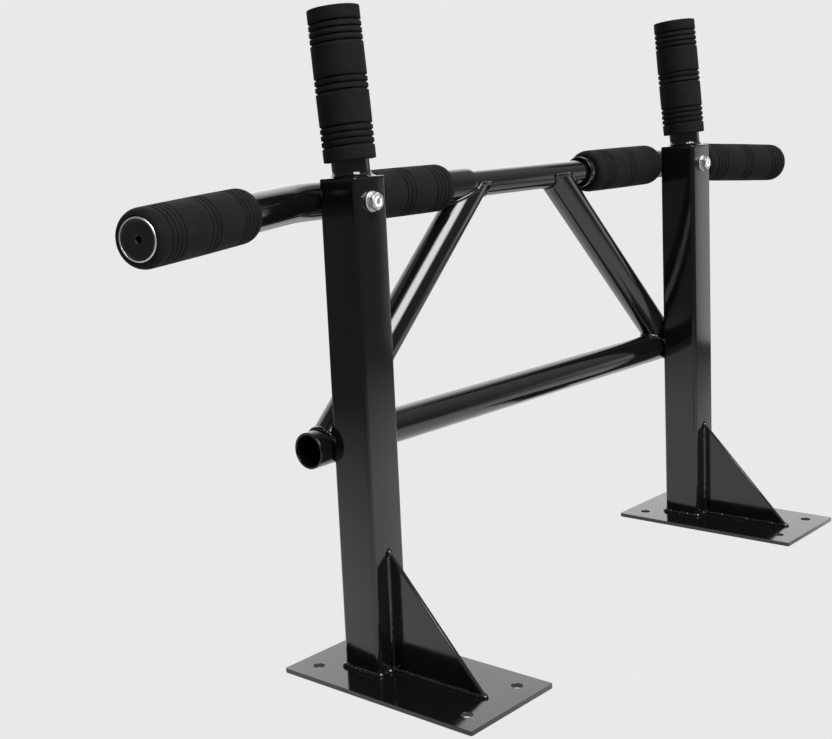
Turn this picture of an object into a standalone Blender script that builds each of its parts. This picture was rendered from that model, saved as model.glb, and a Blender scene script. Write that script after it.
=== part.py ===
"""Pull-up and dip station on two base plates, as an assembly of tubes, plates, grips and bolts.

Two square posts stand on base plates, each stiffened by a gusset. A bolt through the top of each
post holds a bent side bar behind it. A thinner centre bar slides into the inner ends of both side
bars, and two braces carry it down to a lower tube behind the posts. A leaning handle stands on each
post. Lengths are in metres, +Z is up and +X runs along the bars.
"""

import math

import bmesh
import bpy
from mathutils import Matrix, Vector

MM = 0.001
GAP = 0.3 * MM  # left between faces that touch, because every piece is a solid of its own
OBJECT_NAME = "pull_up_dip_station"

# Posts and base plates. The design origin is under the axis of the left post.
POST_SPACING = 560 * MM
POST_SIDE = 40 * MM
POST_WALL = 2 * MM
POST_CORNER = 4 * MM
POST_TOP = 427 * MM
CAP_THICKNESS = 3 * MM
PLATE_WIDTH = 112 * MM
PLATE_DEPTH = 202 * MM
PLATE_THICKNESS = 4 * MM
PLATE_CORNER = 2 * MM
PLATE_SET_BACK = 42.4 * MM  # from the post's axis forward to the plate's middle
HOLE_DIAMETER = 10 * MM
HOLE_SPACING_X = 68.5 * MM
HOLE_SPACING_Y = 160.5 * MM
GUSSET_DEPTH = 95 * MM
GUSSET_HEIGHT = 104 * MM
GUSSET_THICKNESS = 4 * MM
GUSSET_TIP = 1.5 * MM

# Tubes
TUBE_DIAMETER = 32 * MM
TUBE_WALL = 2 * MM
CENTRE_BAR_DIAMETER = 25.4 * MM
BAR_HEIGHT = 408 * MM
LOWER_TUBE_HEIGHT = 197.3 * MM
LOWER_TUBE_OVERHANG = 33.5 * MM  # past each post's axis
CENTRE_BAR_OVERHANG = 15 * MM
BRACE_TOP_INSET = 210.4 * MM  # from each post's axis to the brace's axis, at the bar's height
BRACE_FOOT_OUTSET = 12.7 * MM  # the same at the lower tube's height, outside the post

# Side bars. Each bends forward and slightly down outside its post.
BEND_OFFSET = 33.5 * MM  # from the post's axis to the corner where the two straights meet
BEND_RADIUS = 100 * MM
BEND_STEPS = 8
SIDE_BARS = {
    "left": {"outward": -1, "inner_end": 200 * MM, "reach": 220.5 * MM, "forward": 0.266, "down": 0.040},
    "right": {"outward": 1, "inner_end": 163 * MM, "reach": 184 * MM, "forward": 0.217, "down": 0.063},
}

# Grips and plugs
GRIP_DIAMETER = 44 * MM
GRIP_EDGE = 3 * MM
INNER_GRIP_START = {"left": 30 * MM, "right": 21 * MM}
INNER_GRIP_LENGTH = 130 * MM
OUTER_GRIP_LENGTH = 137 * MM  # flush with the plug
HANDLE_LEAN = 0.084  # backward run for each unit of height
HANDLE_TOP = 564 * MM
HANDLE_GRIP_LENGTH = 124 * MM  # flush with the plug
PLUG_FLANGE_DIAMETER = 32 * MM
PLUG_FLANGE = 2.5 * MM
PLUG_DEPTH = 18 * MM
PLUG_HOLE_DIAMETER = 5 * MM

# M8 bolts
BOLT_HEIGHT = 406.8 * MM
BOLT_DIAMETER = 8 * MM
BOLT_HOLE_DIAMETER = 9 * MM
HEX_ACROSS_FLATS = 13 * MM
HEAD_HEIGHT = 5.3 * MM
NUT_HEIGHT = 6.8 * MM
THREAD_PAST_NUT = 3 * MM
WASHER_DIAMETER = 17 * MM
WASHER_THICKNESS = 1.6 * MM

ROUND_STEPS = 32  # sides of a round tube
SMALL_STEPS = 20  # sides of a small round hole or shank

TUBE_RADIUS = TUBE_DIAMETER / 2
GRIP_RADIUS = GRIP_DIAMETER / 2
BAR_DEPTH = POST_SIDE / 2 + GAP + TUBE_RADIUS  # every tube lies just behind the posts
POST_X = {"left": 0.0, "right": POST_SPACING}
LEAN_AXIS = Vector((0, HANDLE_LEAN, 1)).normalized()


def outer_direction(side):
    """Unit direction of a side bar's outer straight, from the bend to its end."""
    bar = SIDE_BARS[side]
    level = math.cos(bar["down"])
    return Vector((
        bar["outward"] * math.cos(bar["forward"]) * level,
        -math.sin(bar["forward"]) * level,
        -math.sin(bar["down"]),
    ))


def bend_corner(side):
    return Vector((POST_X[side] + SIDE_BARS[side]["outward"] * BEND_OFFSET, BAR_DEPTH, BAR_HEIGHT))


def outer_end(side):
    """Middle of the outer end of a side bar, where its plug's flange starts."""
    return bend_corner(side) + outer_direction(side) * (SIDE_BARS[side]["reach"] - PLUG_FLANGE)


def side_reach(side):
    """How far the rounded end of an outer grip reaches along X."""
    direction = outer_direction(side)
    middle = bend_corner(side) + direction * (SIDE_BARS[side]["reach"] - GRIP_EDGE)
    rim = (GRIP_RADIUS - GRIP_EDGE) * math.sqrt(1 - direction.x**2) + GRIP_EDGE
    return middle.x + SIDE_BARS[side]["outward"] * rim


def shift_to_bottom_centre():
    """Moves the design origin so that the model's origin is the middle of its box, at the floor."""
    rear_of_bolt = (
        BAR_DEPTH + TUBE_RADIUS + 2 * GAP + WASHER_THICKNESS + NUT_HEIGHT + THREAD_PAST_NUT + GAP
    )
    front_of_plate = -PLATE_SET_BACK - PLATE_DEPTH / 2
    return Vector((
        -(side_reach("left") + side_reach("right")) / 2,
        -(rear_of_bolt + front_of_plate) / 2,
        0,
    ))


def clear_scene():
    for old in list(bpy.data.objects):
        bpy.data.objects.remove(old, do_unlink=True)


def new_collection(name):
    collection = bpy.data.collections.new(name)
    bpy.context.scene.collection.children.link(collection)
    return collection


def new_material(name, color, roughness, metallic=0.0):
    material = bpy.data.materials.new(name)
    material.use_nodes = True
    shader = material.node_tree.nodes["Principled BSDF"]
    shader.inputs["Base Color"].default_value = (*color, 1)
    shader.inputs["Roughness"].default_value = roughness
    shader.inputs["Metallic"].default_value = metallic
    return material


def add_object(name, data, collection, material=None):
    """A new object under the model's origin empty."""
    obj = bpy.data.objects.new(name, data)
    collection.objects.link(obj)
    obj.parent = ORIGIN
    if material:
        data.materials.clear()
        data.materials.append(material)
    return obj


def make_cutter(obj):
    obj.hide_render = True
    obj.display_type = "WIRE"
    return obj


def boolean(obj, other, operation="DIFFERENCE"):
    modifier = obj.modifiers.new(operation.lower() + "_" + other.name, "BOOLEAN")
    modifier.operation = operation
    modifier.object = other


def smooth(mesh, degrees=35):
    mesh.shade_smooth()
    mesh.set_sharp_from_angle(angle=math.radians(degrees))


def face_along(obj, point, direction):
    """Puts an object's origin at a point, with its Z axis along a direction."""
    obj.location = point
    obj.rotation_euler = Vector(direction).to_track_quat("Z", "Y").to_euler()


def turned(name, profile, collection, material=None, closed=True, steps=ROUND_STEPS):
    """Turns (radius, height) points about Z. The outer side runs from top to bottom."""
    mesh = bpy.data.meshes.new(name)
    count = len(profile)
    edges = [(i, (i + 1) % count) for i in range(count if closed else count - 1)]
    mesh.from_pydata([(radius, 0, height) for radius, height in profile], edges, [])
    obj = add_object(name, mesh, collection, material)
    screw = obj.modifiers.new("turn", "SCREW")
    screw.axis = "Z"
    screw.steps = steps
    screw.render_steps = steps
    screw.use_merge_vertices = True
    screw.merge_threshold = 0.01 * MM
    screw.use_smooth_shade = True
    return obj


def ring_profile(inner, outer, bottom, top):
    return [(outer, top), (outer, bottom), (inner, bottom), (inner, top)]


def rounded_ring_profile(inner, outer, length, edge, steps=3):
    """A sleeve whose two outer edges are rounded."""
    arc = [math.radians(90 * i / steps) for i in range(steps + 1)]
    upper = [(outer - edge * (1 - math.sin(a)), length - edge * (1 - math.cos(a))) for a in arc]
    lower = [(radius, length - height) for radius, height in reversed(upper)]
    return upper + lower + [(inner, 0), (inner, length)]


def tube_between(name, start, end, radius, wall, material):
    """A straight hollow tube with open ends."""
    axis = end - start
    profile = ring_profile(radius - wall, radius, 0, axis.length)
    obj = turned(name, profile, PARTS, material)
    face_along(obj, start, axis)
    return obj


def rod_cutter(name, start, end, radius, steps=ROUND_STEPS):
    axis = end - start
    profile = [(0, axis.length), (radius, axis.length), (radius, 0), (0, 0)]
    obj = turned(name, profile, CUTTERS, closed=False, steps=steps)
    face_along(obj, start, axis)
    return make_cutter(obj)


def as_mesh(curve_object, collection, material=None):
    """Replaces a curve object by a mesh object of the same shape, with its caps welded on."""
    name = curve_object.name
    bpy.context.view_layer.update()
    graph = bpy.context.evaluated_depsgraph_get()
    mesh = bpy.data.meshes.new_from_object(curve_object.evaluated_get(graph))
    place = curve_object.matrix_world.copy()
    bpy.data.objects.remove(curve_object, do_unlink=True)
    mesh.name = name
    welded = bmesh.new()
    welded.from_mesh(mesh)
    bmesh.ops.remove_doubles(welded, verts=welded.verts, dist=0.001 * MM)
    welded.to_mesh(mesh)
    welded.free()
    smooth(mesh)
    obj = add_object(name, mesh, collection, material)
    obj.matrix_world = place
    return obj


def flat_solid(name, outlines, thickness, place, material):
    """A plate cut to flat outlines: the first is its edge and the others are its holes."""
    curve = bpy.data.curves.new(name, "CURVE")
    curve.dimensions = "2D"
    curve.fill_mode = "BOTH"
    curve.extrude = thickness / 2
    for outline in outlines:
        spline = curve.splines.new("POLY")
        spline.points.add(len(outline) - 1)
        for point, (x, y) in zip(spline.points, outline):
            point.co = (x, y, 0, 1)
        spline.use_cyclic_u = True
    obj = add_object(name, curve, PARTS)
    obj.matrix_local = place
    return as_mesh(obj, PARTS, material)


def circle_outline(middle_x, middle_y, radius, steps=SMALL_STEPS):
    turn = [2 * math.pi * i / steps for i in range(steps)]
    return [(middle_x + radius * math.cos(a), middle_y + radius * math.sin(a)) for a in turn]


def rounded_rectangle(width, depth, corner, steps=4):
    outline = []
    for quarter, (sign_x, sign_y) in enumerate(((1, 1), (-1, 1), (-1, -1), (1, -1))):
        middle_x = sign_x * (width / 2 - corner)
        middle_y = sign_y * (depth / 2 - corner)
        for i in range(steps + 1):
            angle = math.radians(90 * (quarter + i / steps))
            outline.append((middle_x + corner * math.cos(angle), middle_y + corner * math.sin(angle)))
    return outline


def swept_rod(name, points, radius, collection):
    """A solid round rod along points, as a mesh."""
    curve = bpy.data.curves.new(name, "CURVE")
    curve.dimensions = "3D"
    curve.bevel_depth = radius
    curve.bevel_resolution = (ROUND_STEPS - 4) // 2
    curve.use_fill_caps = True
    spline = curve.splines.new("POLY")
    spline.points.add(len(points) - 1)
    for point, place in zip(spline.points, points):
        point.co = (*place, 1)
    return as_mesh(add_object(name, curve, collection), collection)


def add_base_plates():
    for side, x in POST_X.items():
        holes = [
            circle_outline(sign_x * HOLE_SPACING_X / 2, sign_y * HOLE_SPACING_Y / 2, HOLE_DIAMETER / 2)
            for sign_x in (-1, 1)
            for sign_y in (-1, 1)
        ]
        edge = rounded_rectangle(PLATE_WIDTH, PLATE_DEPTH, PLATE_CORNER)
        place = Matrix.Translation((x, -PLATE_SET_BACK, PLATE_THICKNESS / 2))
        flat_solid(f"base_plate_{side}", [edge, *holes], PLATE_THICKNESS, place, PAINTED_PLATE)


def add_posts():
    foot = PLATE_THICKNESS + GAP
    head = POST_TOP - CAP_THICKNESS - GAP
    inner_side = POST_SIDE - 2 * POST_WALL
    outlines = [
        rounded_rectangle(POST_SIDE, POST_SIDE, POST_CORNER),
        rounded_rectangle(inner_side, inner_side, POST_CORNER - POST_WALL),
    ]
    for side, x in POST_X.items():
        place = Matrix.Translation((x, 0, (foot + head) / 2))
        post = flat_solid(f"post_{side}", outlines, head - foot, place, PAINTED_TUBE)
        boolean(post, BOLT_BORES[side])
        cap_place = Matrix.Translation((x, 0, POST_TOP - CAP_THICKNESS / 2))
        flat_solid(f"post_cap_{side}", outlines[:1], CAP_THICKNESS, cap_place, PAINTED_TUBE)


def add_gussets():
    foot = PLATE_THICKNESS + GAP
    outline = [
        (0, 0),
        (GUSSET_DEPTH, 0),
        (GUSSET_DEPTH, GUSSET_TIP),
        (GUSSET_TIP, GUSSET_HEIGHT),
        (0, GUSSET_HEIGHT),
    ]
    upright = Matrix(((0, 0, 1, 0), (-1, 0, 0, 0), (0, 1, 0, 0), (0, 0, 0, 1)))
    for side, x in POST_X.items():
        place = Matrix.Translation((x, -POST_SIDE / 2 - GAP, foot)) @ upright
        flat_solid(f"gusset_{side}", [outline], GUSSET_THICKNESS, place, PAINTED_PLATE)


def add_bolt_bores():
    """Cutters for the bolt holes through each post and the bars behind it."""
    bores = {}
    for side, x in POST_X.items():
        front = Vector((x, -POST_SIDE, BOLT_HEIGHT))
        rear = Vector((x, BAR_DEPTH + 2 * TUBE_RADIUS, BOLT_HEIGHT))
        radius = BOLT_HOLE_DIAMETER / 2
        bores[side] = rod_cutter(f"bolt_bore_{side}", front, rear, radius, SMALL_STEPS)
    return bores


def side_bar_path(side, extra=0.0):
    """Points along a side bar's axis: inner straight, bend and outer straight."""
    bar = SIDE_BARS[side]
    corner = bend_corner(side)
    inward = Vector((-bar["outward"], 0, 0))
    outward = outer_direction(side)
    turn = math.pi - inward.angle(outward)
    tangent = BEND_RADIUS * math.tan(turn / 2)
    start = corner + inward * tangent
    across = (outward + inward * inward.dot(-outward)).normalized()
    inner_end = Vector((POST_X[side] - bar["outward"] * (bar["inner_end"] + extra), BAR_DEPTH, BAR_HEIGHT))
    points = [inner_end]
    for i in range(BEND_STEPS + 1):
        angle = turn * i / BEND_STEPS
        forward = -inward * BEND_RADIUS * math.sin(angle)
        points.append(start + forward + across * BEND_RADIUS * (1 - math.cos(angle)))
    points.append(outer_end(side) + outward * (extra - GAP))
    return points


def add_side_bars():
    for side in POST_X:
        name = f"side_bar_{side}"
        bar = swept_rod(name, side_bar_path(side), TUBE_RADIUS, PARTS)
        bar.data.materials.append(PAINTED_TUBE)
        past_end = 5 * MM
        bore = swept_rod(f"{name}_bore", side_bar_path(side, past_end), TUBE_RADIUS - TUBE_WALL, CUTTERS)
        boolean(bar, make_cutter(bore))
        boolean(bar, BOLT_BORES[side])


def add_straight_tubes():
    left_end = Vector((-CENTRE_BAR_OVERHANG, BAR_DEPTH, BAR_HEIGHT))
    right_end = Vector((POST_SPACING + CENTRE_BAR_OVERHANG, BAR_DEPTH, BAR_HEIGHT))
    centre = tube_between(
        "centre_bar", left_end, right_end, CENTRE_BAR_DIAMETER / 2, TUBE_WALL, PAINTED_TUBE
    )
    for bore in BOLT_BORES.values():
        boolean(centre, bore)
    left_end = Vector((-LOWER_TUBE_OVERHANG, BAR_DEPTH, LOWER_TUBE_HEIGHT))
    right_end = Vector((POST_SPACING + LOWER_TUBE_OVERHANG, BAR_DEPTH, LOWER_TUBE_HEIGHT))
    tube_between("lower_tube", left_end, right_end, TUBE_RADIUS, TUBE_WALL, PAINTED_TUBE)


def add_braces():
    """Each brace is coped to fit round the bar above it and the lower tube below it."""
    past_end = Vector((5 * MM, 0, 0))
    high = Vector((0, BAR_DEPTH, BAR_HEIGHT))
    low = Vector((0, BAR_DEPTH, LOWER_TUBE_HEIGHT))
    across = Vector((POST_SPACING, 0, 0))
    left_stub = Vector((SIDE_BARS["left"]["inner_end"] + GAP, 0, 0))
    right_stub = Vector((POST_SPACING - SIDE_BARS["right"]["inner_end"] - GAP, 0, 0))
    copes = [
        rod_cutter("cope_centre_bar", high, high + across, CENTRE_BAR_DIAMETER / 2 + GAP),
        rod_cutter("cope_left_bar", high - past_end, high + left_stub, TUBE_RADIUS + GAP),
        rod_cutter("cope_right_bar", high + right_stub, high + across + past_end, TUBE_RADIUS + GAP),
        rod_cutter("cope_lower_tube", low - 10 * past_end, low + across + 10 * past_end, TUBE_RADIUS + GAP),
    ]
    for side, x in POST_X.items():
        outward = SIDE_BARS[side]["outward"]
        head = Vector((x - outward * BRACE_TOP_INSET, BAR_DEPTH, BAR_HEIGHT))
        foot = Vector((x + outward * BRACE_FOOT_OUTSET, BAR_DEPTH, LOWER_TUBE_HEIGHT))
        brace = tube_between(f"brace_{side}", foot, head, TUBE_RADIUS, TUBE_WALL, PAINTED_TUBE)
        for cope in copes:
            boolean(brace, cope)


def add_handles():
    """A tube leaning back from each post's cap, with its grip and plug. Its foot is cut level."""
    seat = POST_TOP + GAP
    for side, x in POST_X.items():
        pivot = Vector((x, 0, POST_TOP))
        top = pivot + LEAN_AXIS * ((HANDLE_TOP - POST_TOP) / LEAN_AXIS.z)
        below = pivot - LEAN_AXIS * 5 * MM
        tube_top = top - LEAN_AXIS * (PLUG_FLANGE + GAP)
        tube = tube_between(f"handle_tube_{side}", below, tube_top, TUBE_RADIUS, TUBE_WALL, PAINTED_TUBE)
        floor = rod_cutter(
            f"level_cut_{side}", Vector((x, 0, seat - 20 * MM)), Vector((x, 0, seat)), 2 * TUBE_RADIUS
        )
        boolean(tube, floor)
        grip_foot = top - LEAN_AXIS * HANDLE_GRIP_LENGTH
        add_grip(f"handle_grip_{side}", grip_foot, LEAN_AXIS, HANDLE_GRIP_LENGTH)
        add_plug(f"handle_plug_{side}", top - LEAN_AXIS * PLUG_FLANGE, LEAN_AXIS)


def add_grip(name, start, direction, length):
    profile = rounded_ring_profile(TUBE_RADIUS + GAP, GRIP_RADIUS, length, GRIP_EDGE)
    obj = turned(name, profile, PARTS, FOAM)
    face_along(obj, start, direction)


def add_plug(name, seat, direction):
    """A plug whose flange closes a tube's end and whose sleeve sits inside the tube."""
    sleeve = TUBE_RADIUS - TUBE_WALL - GAP
    hole = PLUG_HOLE_DIAMETER / 2
    flange = PLUG_FLANGE_DIAMETER / 2
    chamfer = 0.8 * MM
    profile = [
        (flange - chamfer, PLUG_FLANGE),
        (flange, PLUG_FLANGE - chamfer),
        (flange, GAP),
        (sleeve, GAP),
        (sleeve, -PLUG_DEPTH),
        (hole, -PLUG_DEPTH),
        (hole, PLUG_FLANGE),
    ]
    obj = turned(name, profile, PARTS, PLASTIC)
    face_along(obj, seat, direction)


def add_bar_grips_and_plugs():
    for side, x in POST_X.items():
        outward = SIDE_BARS[side]["outward"]
        inner_start = Vector((x - outward * INNER_GRIP_START[side], BAR_DEPTH, BAR_HEIGHT))
        inward = Vector((-outward, 0, 0))
        add_grip(f"inner_grip_{side}", inner_start, inward, INNER_GRIP_LENGTH)
        direction = outer_direction(side)
        outer_start = outer_end(side) + direction * (PLUG_FLANGE - OUTER_GRIP_LENGTH)
        add_grip(f"outer_grip_{side}", outer_start, direction, OUTER_GRIP_LENGTH)
        add_plug(f"end_plug_{side}", outer_end(side), direction)


def hexagon(name, height, bottom, material, collection):
    """A hexagonal block whose flats are HEX_ACROSS_FLATS apart."""
    shape = bmesh.new()
    corner_radius = HEX_ACROSS_FLATS / 2 / math.cos(math.pi / 6)
    place = Matrix.Translation((0, 0, bottom + height / 2))
    bmesh.ops.create_cone(
        shape,
        cap_ends=True,
        segments=6,
        radius1=corner_radius,
        radius2=corner_radius,
        depth=height,
        matrix=place,
    )
    mesh = bpy.data.meshes.new(name)
    shape.to_mesh(mesh)
    shape.free()
    return add_object(name, mesh, collection, material)


def add_fasteners():
    backward = Vector((0, 1, 0))
    washer = ring_profile(BOLT_HOLE_DIAMETER / 2, WASHER_DIAMETER / 2, 0, WASHER_THICKNESS)
    shank_start = POST_SIDE / 2 + GAP + WASHER_THICKNESS + GAP
    washer_seat = BAR_DEPTH + TUBE_RADIUS + GAP
    nut_seat = washer_seat + WASHER_THICKNESS + GAP
    shank_end = nut_seat + NUT_HEIGHT + THREAD_PAST_NUT
    for side, x in POST_X.items():
        for end, depth in (("front", -POST_SIDE / 2 - GAP - WASHER_THICKNESS), ("rear", washer_seat)):
            ring = turned(f"washer_{end}_{side}", washer, PARTS, ZINC, steps=SMALL_STEPS)
            face_along(ring, Vector((x, depth, BOLT_HEIGHT)), backward)
        bolt = hexagon(f"bolt_{side}", HEAD_HEIGHT, -HEAD_HEIGHT, ZINC, PARTS)
        face_along(bolt, Vector((x, -shank_start, BOLT_HEIGHT)), backward)
        shank_foot = Vector((x, -shank_start - HEAD_HEIGHT / 2, BOLT_HEIGHT))
        shank_tip = Vector((x, shank_end, BOLT_HEIGHT))
        shank = rod_cutter(f"shank_{side}", shank_foot, shank_tip, BOLT_DIAMETER / 2, SMALL_STEPS)
        boolean(bolt, shank, "UNION")
        nut = hexagon(f"nut_{side}", NUT_HEIGHT, 0, ZINC, PARTS)
        face_along(nut, Vector((x, nut_seat, BOLT_HEIGHT)), backward)
        bore_foot = Vector((x, BAR_DEPTH, BOLT_HEIGHT))
        bore_tip = Vector((x, shank_end + 5 * MM, BOLT_HEIGHT))
        bore = rod_cutter(f"nut_bore_{side}", bore_foot, bore_tip, BOLT_DIAMETER / 2 + GAP, SMALL_STEPS)
        boolean(nut, bore)


clear_scene()
PARTS = new_collection(OBJECT_NAME)
CUTTERS = new_collection("cutters")
ORIGIN = bpy.data.objects.new("model_origin", None)
PARTS.objects.link(ORIGIN)
ORIGIN.location = shift_to_bottom_centre()
PAINTED_TUBE = new_material("gloss_black_paint_on_tube", (0.03, 0.03, 0.03), 0.25)
PAINTED_PLATE = new_material("gloss_black_paint_on_plate", (0.035, 0.035, 0.035), 0.22)
FOAM = new_material("black_foam", (0.02, 0.02, 0.02), 0.9)
PLASTIC = new_material("black_plastic", (0.02, 0.02, 0.02), 0.45)
ZINC = new_material("zinc_plated_steel", (0.62, 0.62, 0.62), 0.3, 1.0)
BOLT_BORES = add_bolt_bores()
add_base_plates()
add_posts()
add_gussets()
add_side_bars()
add_straight_tubes()
add_braces()
add_handles()
add_bar_grips_and_plugs()
add_fasteners()
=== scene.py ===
"""Surfaces, finishes and stage of a dip and pull-up station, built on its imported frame.

Each node of the frame gets a visible piece of its own: painted tubes and plates, foam grips, plastic plugs
and zinc fasteners. Weld beads and bright tube rims are added. The layout is a Blender add-on's, and main()
registers it and calls its operators in order.
"""

import math

import bmesh
import bpy
import numpy as np
from mathutils import Matrix, Vector


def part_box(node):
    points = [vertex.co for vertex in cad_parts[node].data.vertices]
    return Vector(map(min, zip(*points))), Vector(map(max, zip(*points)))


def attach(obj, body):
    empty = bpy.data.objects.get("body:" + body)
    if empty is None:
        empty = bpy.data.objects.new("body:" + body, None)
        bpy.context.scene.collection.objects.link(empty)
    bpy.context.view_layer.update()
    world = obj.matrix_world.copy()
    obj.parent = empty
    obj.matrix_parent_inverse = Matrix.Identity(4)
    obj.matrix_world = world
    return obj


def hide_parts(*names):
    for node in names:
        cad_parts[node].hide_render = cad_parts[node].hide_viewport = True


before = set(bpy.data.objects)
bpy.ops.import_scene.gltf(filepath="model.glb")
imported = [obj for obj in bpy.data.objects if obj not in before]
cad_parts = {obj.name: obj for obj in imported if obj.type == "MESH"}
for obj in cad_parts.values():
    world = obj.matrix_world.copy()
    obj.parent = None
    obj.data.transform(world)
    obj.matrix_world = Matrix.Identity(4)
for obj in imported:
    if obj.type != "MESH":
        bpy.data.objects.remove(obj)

bl_info = {
    "name": "Dip and pull-up station",
    "version": (1, 0, 0),
    "blender": (4, 5, 0),
    "location": "View3D > Sidebar > Station",
    "description": "Builds the painted frame, foam grips and fasteners of a dip and pull-up station",
    "category": "Add Mesh",
}

MM = 0.001
GAP = 0.3 * MM  # between faces that touch
SIDES = ("left", "right")
OUTWARD = {"left": -1.0, "right": 1.0}


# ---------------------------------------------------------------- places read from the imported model


def corners(node):
    """Lowest and highest corner of a node's box."""
    low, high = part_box(node)
    return np.array(low), np.array(high)


def middle(node):
    low, high = corners(node)
    return (low + high) / 2


def extent(node, axis):
    """Size of a node's box along X, Y or Z, as 0, 1 or 2."""
    low, high = corners(node)
    return float(high[axis] - low[axis])


POST = {side: middle(f"post_{side}") for side in SIDES}
POST_HALF = extent("post_left", 0) / 2
PLATE_TOP = float(corners("base_plate_left")[1][2])
CAP_TOP = float(corners("post_cap_left")[1][2])
TUBE_RADIUS = extent("lower_tube", 2) / 2
CENTRE_BAR_RADIUS = extent("centre_bar", 2) / 2
GRIP_RADIUS = extent("inner_grip_left", 2) / 2
BAR = middle("inner_grip_left")  # its Y and Z are the side bars' axis
CENTRE_BAR = middle("centre_bar")
LOWER_TUBE = middle("lower_tube")


# ---------------------------------------------------------------- what a user would change


def length(name, description, default):
    return bpy.props.FloatProperty(name=name, description=description, default=default, unit="LENGTH")


def both_sides(name, description, default, unit):
    """A value for the left side and one for the right."""
    return bpy.props.FloatVectorProperty(name=name, description=description, default=default, size=2, unit=unit)


def colour(name, description, default):
    return bpy.props.StringProperty(name=name, description=description, default=default, maxlen=6)


class FrameSettings(bpy.types.PropertyGroup):
    """Sizes of the painted frame."""

    wall: length("Tube wall", "Wall thickness of every tube", 2 * MM)
    post_corner: length("Post corner", "Outer corner radius of a post", 4 * MM)
    soft_edge: length("Painted edge", "Radius that the paint gives a cut edge", 0.6 * MM)
    bend_offset: length("Bend offset", "From a post's axis out to the corner of a side bar's bend", 33.5 * MM)
    bend_radius: length("Bend radius", "Bend radius of a side bar", 100 * MM)
    forward: both_sides("Forward angles", "How far each side bar turns forward", (0.266, 0.217), "ROTATION")
    down: both_sides("Down angles", "How far each side bar turns down", (0.040, 0.063), "ROTATION")
    reach: both_sides("Reach", "From a bend's corner to its side bar's end", (220.5 * MM, 184 * MM), "LENGTH")
    inner_end: both_sides(
        "Inner ends", "From a post's axis in to its side bar's inner end", (200 * MM, 163 * MM), "LENGTH"
    )
    lean: bpy.props.FloatProperty(
        name="Handle lean", description="Backward run of a handle for each unit of height", default=0.084
    )
    handle_top: length("Handle top", "Height of the middle of a handle's top", 564 * MM)
    brace_top: length("Brace top", "From a post's axis in to the brace's axis, at the bars' height", 210.4 * MM)
    brace_foot: length(
        "Brace foot", "From a post's axis out to the brace's axis, at the lower tube's height", 12.7 * MM
    )
    cap_edge: length("Cap edge", "Radius round the top of a post's cap", 1.2 * MM)
    weld: length("Weld bead", "Radius of a weld bead", 2.4 * MM)


class GripSettings(bpy.types.PropertyGroup):
    """Sizes of the foam grips and the plugs."""

    handle_length: length("Handle grip", "Length of a handle's grip", 124 * MM)
    outer_length: length("Outer grip", "Length of an outer grip", 137 * MM)
    groove_pitch: length("Groove pitch", "Distance between grooves", 5.4 * MM)
    groove_width: length("Groove width", "Width of a groove at the surface", 2.4 * MM)
    groove_depth: length("Groove depth", "Depth of a groove", 1.6 * MM)
    first_groove: length("First groove", "From a grip's end to its first groove", 12 * MM)
    round_end: length("Rounded end", "Length of a bar grip's rounded end", 7 * MM)
    handle_edge: length("Handle edge", "Edge radius of a handle's grip", 0.9 * MM)
    swell: length("Swell", "How much a grip is thicker in its middle", 0.25 * MM)
    flange: length("Plug flange", "Thickness of a plug's flange", 2.5 * MM)
    plug_hole: length("Plug hole", "Radius of the hole in a plug", 2.5 * MM)
    plug_depth: length("Plug depth", "How far a plug goes into its tube", 18 * MM)


class FastenerSettings(bpy.types.PropertyGroup):
    """Sizes of the M8 bolts, nuts and washers."""

    head_height: length("Head height", "Height of a bolt's head", 5.3 * MM)
    shank_radius: length("Shank radius", "Radius of a bolt's shank", 4 * MM)
    thread_pitch: length("Thread pitch", "Pitch of the thread", 1.25 * MM)
    thread_depth: length("Thread depth", "Depth of the thread", 0.6 * MM)
    nut_bore: length("Nut bore", "Radius of a nut's bore", 4.2 * MM)
    washer_bore: length("Washer bore", "Radius of a washer's bore", 4.5 * MM)
    washer_edge: length("Washer edge", "Edge radius of a stamped washer", 0.35 * MM)


class FinishSettings(bpy.types.PropertyGroup):
    """Colours and gloss, as sRGB hex text."""

    paint: colour("Paint", "Colour of the paint", "0b0b0b")
    foam_dark: colour("Foam, dark", "Darkest colour of the foam", "060606")
    foam_light: colour("Foam, light", "Lightest colour of the foam", "101010")
    plastic: colour("Plastic", "Colour of the plugs", "0c0c0c")
    zinc_dark: colour("Zinc, dark", "Darkest colour of the zinc plating", "b4b5b6")
    zinc_light: colour("Zinc, light", "Lightest colour of the zinc plating", "dcdddd")
    rim: colour("Rim", "Colour of the tubes' rims", "e6e6e4")
    paint_roughness: bpy.props.FloatProperty(
        name="Paint roughness", description="Roughness of the paint", default=0.09, min=0, max=1
    )


class StageSettings(bpy.types.PropertyGroup):
    """Camera, light and floor."""

    lens: bpy.props.FloatProperty(name="Lens", description="Focal length in millimetres", default=56.046)
    backdrop: colour("Backdrop", "Colour of the floor and the room behind", "e9e9e9")
    surround: bpy.props.FloatProperty(
        name="Surround", description="Strength of the light all round", default=0.16, min=0
    )
    softbox: bpy.props.FloatProperty(
        name="Softbox", description="Strength of the softbox above the front", default=16.0, min=0
    )
    sweep: bpy.props.FloatProperty(
        name="Sweep", description="Strength of the bright sweep behind", default=1.4, min=0
    )


# ---------------------------------------------------------------- surfaces


def unit(vector):
    """The vector at length one."""
    vector = np.asarray(vector, float)
    return vector / np.linalg.norm(vector)


def grid_faces(rows, columns, wrap_rows=True):
    """Quads of a grid: each joins a point to the next in its row and its column, wrapping round."""
    i = np.arange(rows if wrap_rows else rows - 1)[:, None]
    j = np.arange(columns)[None, :]
    below, right = (i + 1) % rows, (j + 1) % columns
    quads = np.stack((i * columns + j, i * columns + right, below * columns + right, below * columns + j), -1)
    return quads.reshape(-1, 4)


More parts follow.
